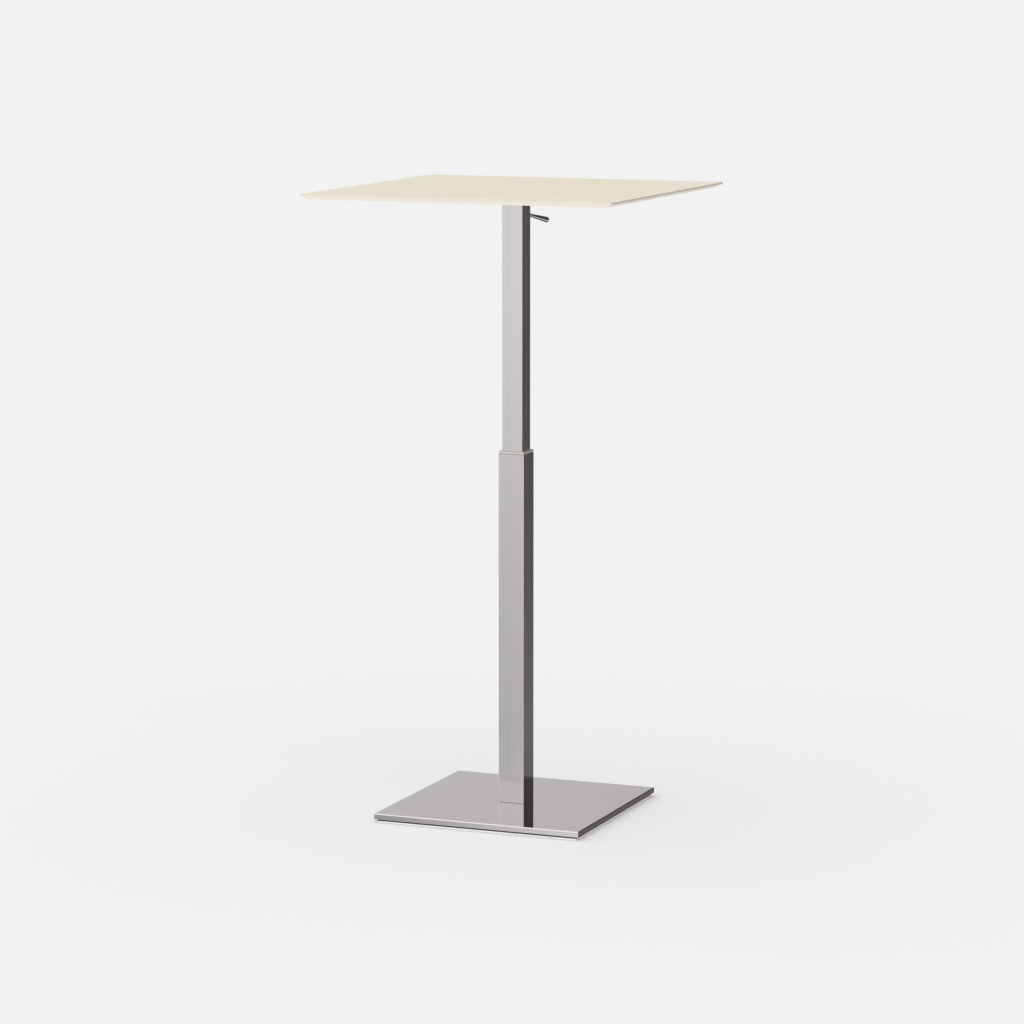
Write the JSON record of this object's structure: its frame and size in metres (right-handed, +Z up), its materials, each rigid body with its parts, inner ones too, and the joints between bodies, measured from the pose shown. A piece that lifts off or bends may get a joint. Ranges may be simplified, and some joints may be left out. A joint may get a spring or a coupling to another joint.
{
  "type": "adjustable pedestal table",
  "caption": "Square-topped pedestal table on a polished square base, with a telescopic square column, a gas lift and a release lever under the top.",
  "frame": {"origin": "on the floor under the middle of the base", "axes": "+Z up along the column, -Y the front of the table, +Y the side the release lever points to"},
  "size_m": [0.59, 0.59, 1.15],
  "materials": {
    "pad": "matte white sheet",
    "ballast": "matte black paint",
    "zinc_screws": "zinc plated",
    "polished_base": "mirror polished",
    "foot_steel": "black oxide",
    "lower_tube": "satin brushed along its length",
    "upper_tube": "satin brushed along its length",
    "collar": "matte light grey",
    "bump_rubber": "matte black",
    "seal_rubber": "smooth black",
    "rod_chrome": "hard chrome",
    "gas_alloy": "machined",
    "head_alloy": "machined",
    "slide_plastic": "natural slide plastic",
    "cylinder_paint": "satin black paint",
    "plate_paint": "textured black powder coat",
    "insert_brass": "machined",
    "laminate": "matte cream laminate on board",
    "rocker_steel": "black oxide",
    "lever_chrome": "polished"
  },
  "bodies": {
    "base": {"glide_pad": "pad", "ballast_plate": "ballast", "ballast_screws": "zinc_screws", "base_plate": "polished_base", "column_screws": "zinc_screws", "anchor_screw": "zinc_screws", "column_foot": "foot_steel", "lower_tube": "lower_tube", "guide_bush": "collar", "anchor_flange": "foot_steel", "anchor_post": "foot_steel", "rod_nut": "zinc_screws", "bump_stop": "bump_rubber", "piston_rod": "rod_chrome", "piston": "gas_alloy", "piston_seal": "seal_rubber", "piston_nut": "zinc_screws"},
    "lift": {"upper_tube": "upper_tube", "foot_bush": "slide_plastic", "gas_cylinder": "cylinder_paint", "cylinder_gland": "gas_alloy", "rod_wiper": "seal_rubber", "cylinder_spacer": "slide_plastic", "valve_head": "gas_alloy", "head_block": "head_alloy", "pivot_pin": "rod_chrome", "mounting_plate": "plate_paint", "top_screws": "zinc_screws", "threaded_inserts": "insert_brass", "table_top": "laminate"},
    "release": {"release_rocker": "rocker_steel", "lever_handle": "lever_chrome"},
    "valve": {"valve_pin": "rod_chrome"}
  },
  "joints": [
    {"name": "lift_slide", "type": "slide", "parent": "base", "child": "lift", "axis": [0, 0, 1], "range_m": [-0.4, 0]},
    {"name": "lever_hinge", "type": "hinge", "parent": "lift", "child": "release", "pos_m": [0, 0.011, 1.106], "axis": [1, 0, 0], "range_deg": [0, 8], "stiffness_Nm_per_rad": 4, "springref_deg": -5.73},
    {"name": "valve_slide", "type": "slide", "parent": "lift", "child": "valve", "axis": [0, 0, 1], "range_m": [-0.0016, 0]}
  ],
  "couplings": [
    {"joint": "valve_slide", "follows": "lever_hinge", "m_per_rad": -0.011}
  ]
}
